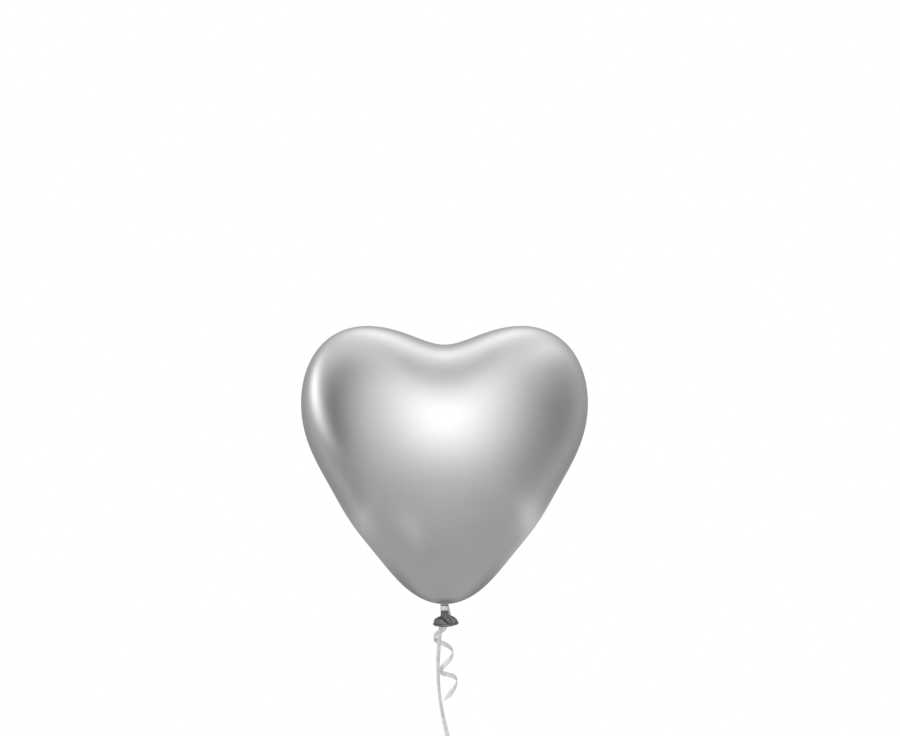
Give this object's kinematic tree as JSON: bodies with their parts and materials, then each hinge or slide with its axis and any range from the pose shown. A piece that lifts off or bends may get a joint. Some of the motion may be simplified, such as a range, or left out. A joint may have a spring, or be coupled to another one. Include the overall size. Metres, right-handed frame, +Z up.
{
  "type": "heart balloon on ribbon",
  "caption": "Inflated heart-shaped metallic latex balloon, neck tied with curling ribbon, with a long hanging ribbon and a short curled tail.",
  "frame": {"origin": "middle of the tie on the neck, on the neck's own axis", "axes": "+Z up from the tie to the heart's cleft, +Y from the heart's front to its back, +X to the right seen from the front"},
  "size_m": [0.3, 0.17, 0.5236],
  "materials": {
    "metallic_film": "satin metallic silver latex",
    "gathered_film": "dark silver unstretched latex",
    "ribbon": "glossy silver-white polypropylene"
  },
  "bodies": {
    "balloon": {"balloon_envelope": "metallic_film", "balloon_neck": "gathered_film", "neck_wrap": "ribbon"},
    "mouth": {"mouth_skirt": "gathered_film", "rolled_lip": "gathered_film"},
    "knot": {"ribbon_knot": "ribbon"},
    "tether": {"tether_ribbon": "ribbon", "tether_coil": "ribbon", "coil_tie": "ribbon"},
    "tail": {"tail_lead": "ribbon", "tail_curl": "ribbon"}
  },
  "joints": [
    {"name": "mouth_flex", "type": "hinge", "parent": "balloon", "child": "mouth", "pos_m": [0, 0, -0.0032], "axis": [0, 1, 0], "range_deg": [-25, 25], "stiffness_Nm_per_rad": 0.001},
    {"name": "ribbon_swing", "type": "hinge", "parent": "balloon", "child": "knot", "pos_m": [0, 0.0067, 0], "axis": [1, 0, 0], "range_deg": [0, 45]},
    {"name": "tether_sway", "type": "hinge", "parent": "knot", "child": "tether", "pos_m": [-0.0012, 0.0069, -0.0046], "axis": [0, 1, 0], "range_deg": [-40, 40]},
    {"name": "tail_sway", "type": "hinge", "parent": "knot", "child": "tail", "pos_m": [0.0022, 0.0114, -0.0005], "axis": [0, 1, 0], "range_deg": [-40, 40]}
  ]
}
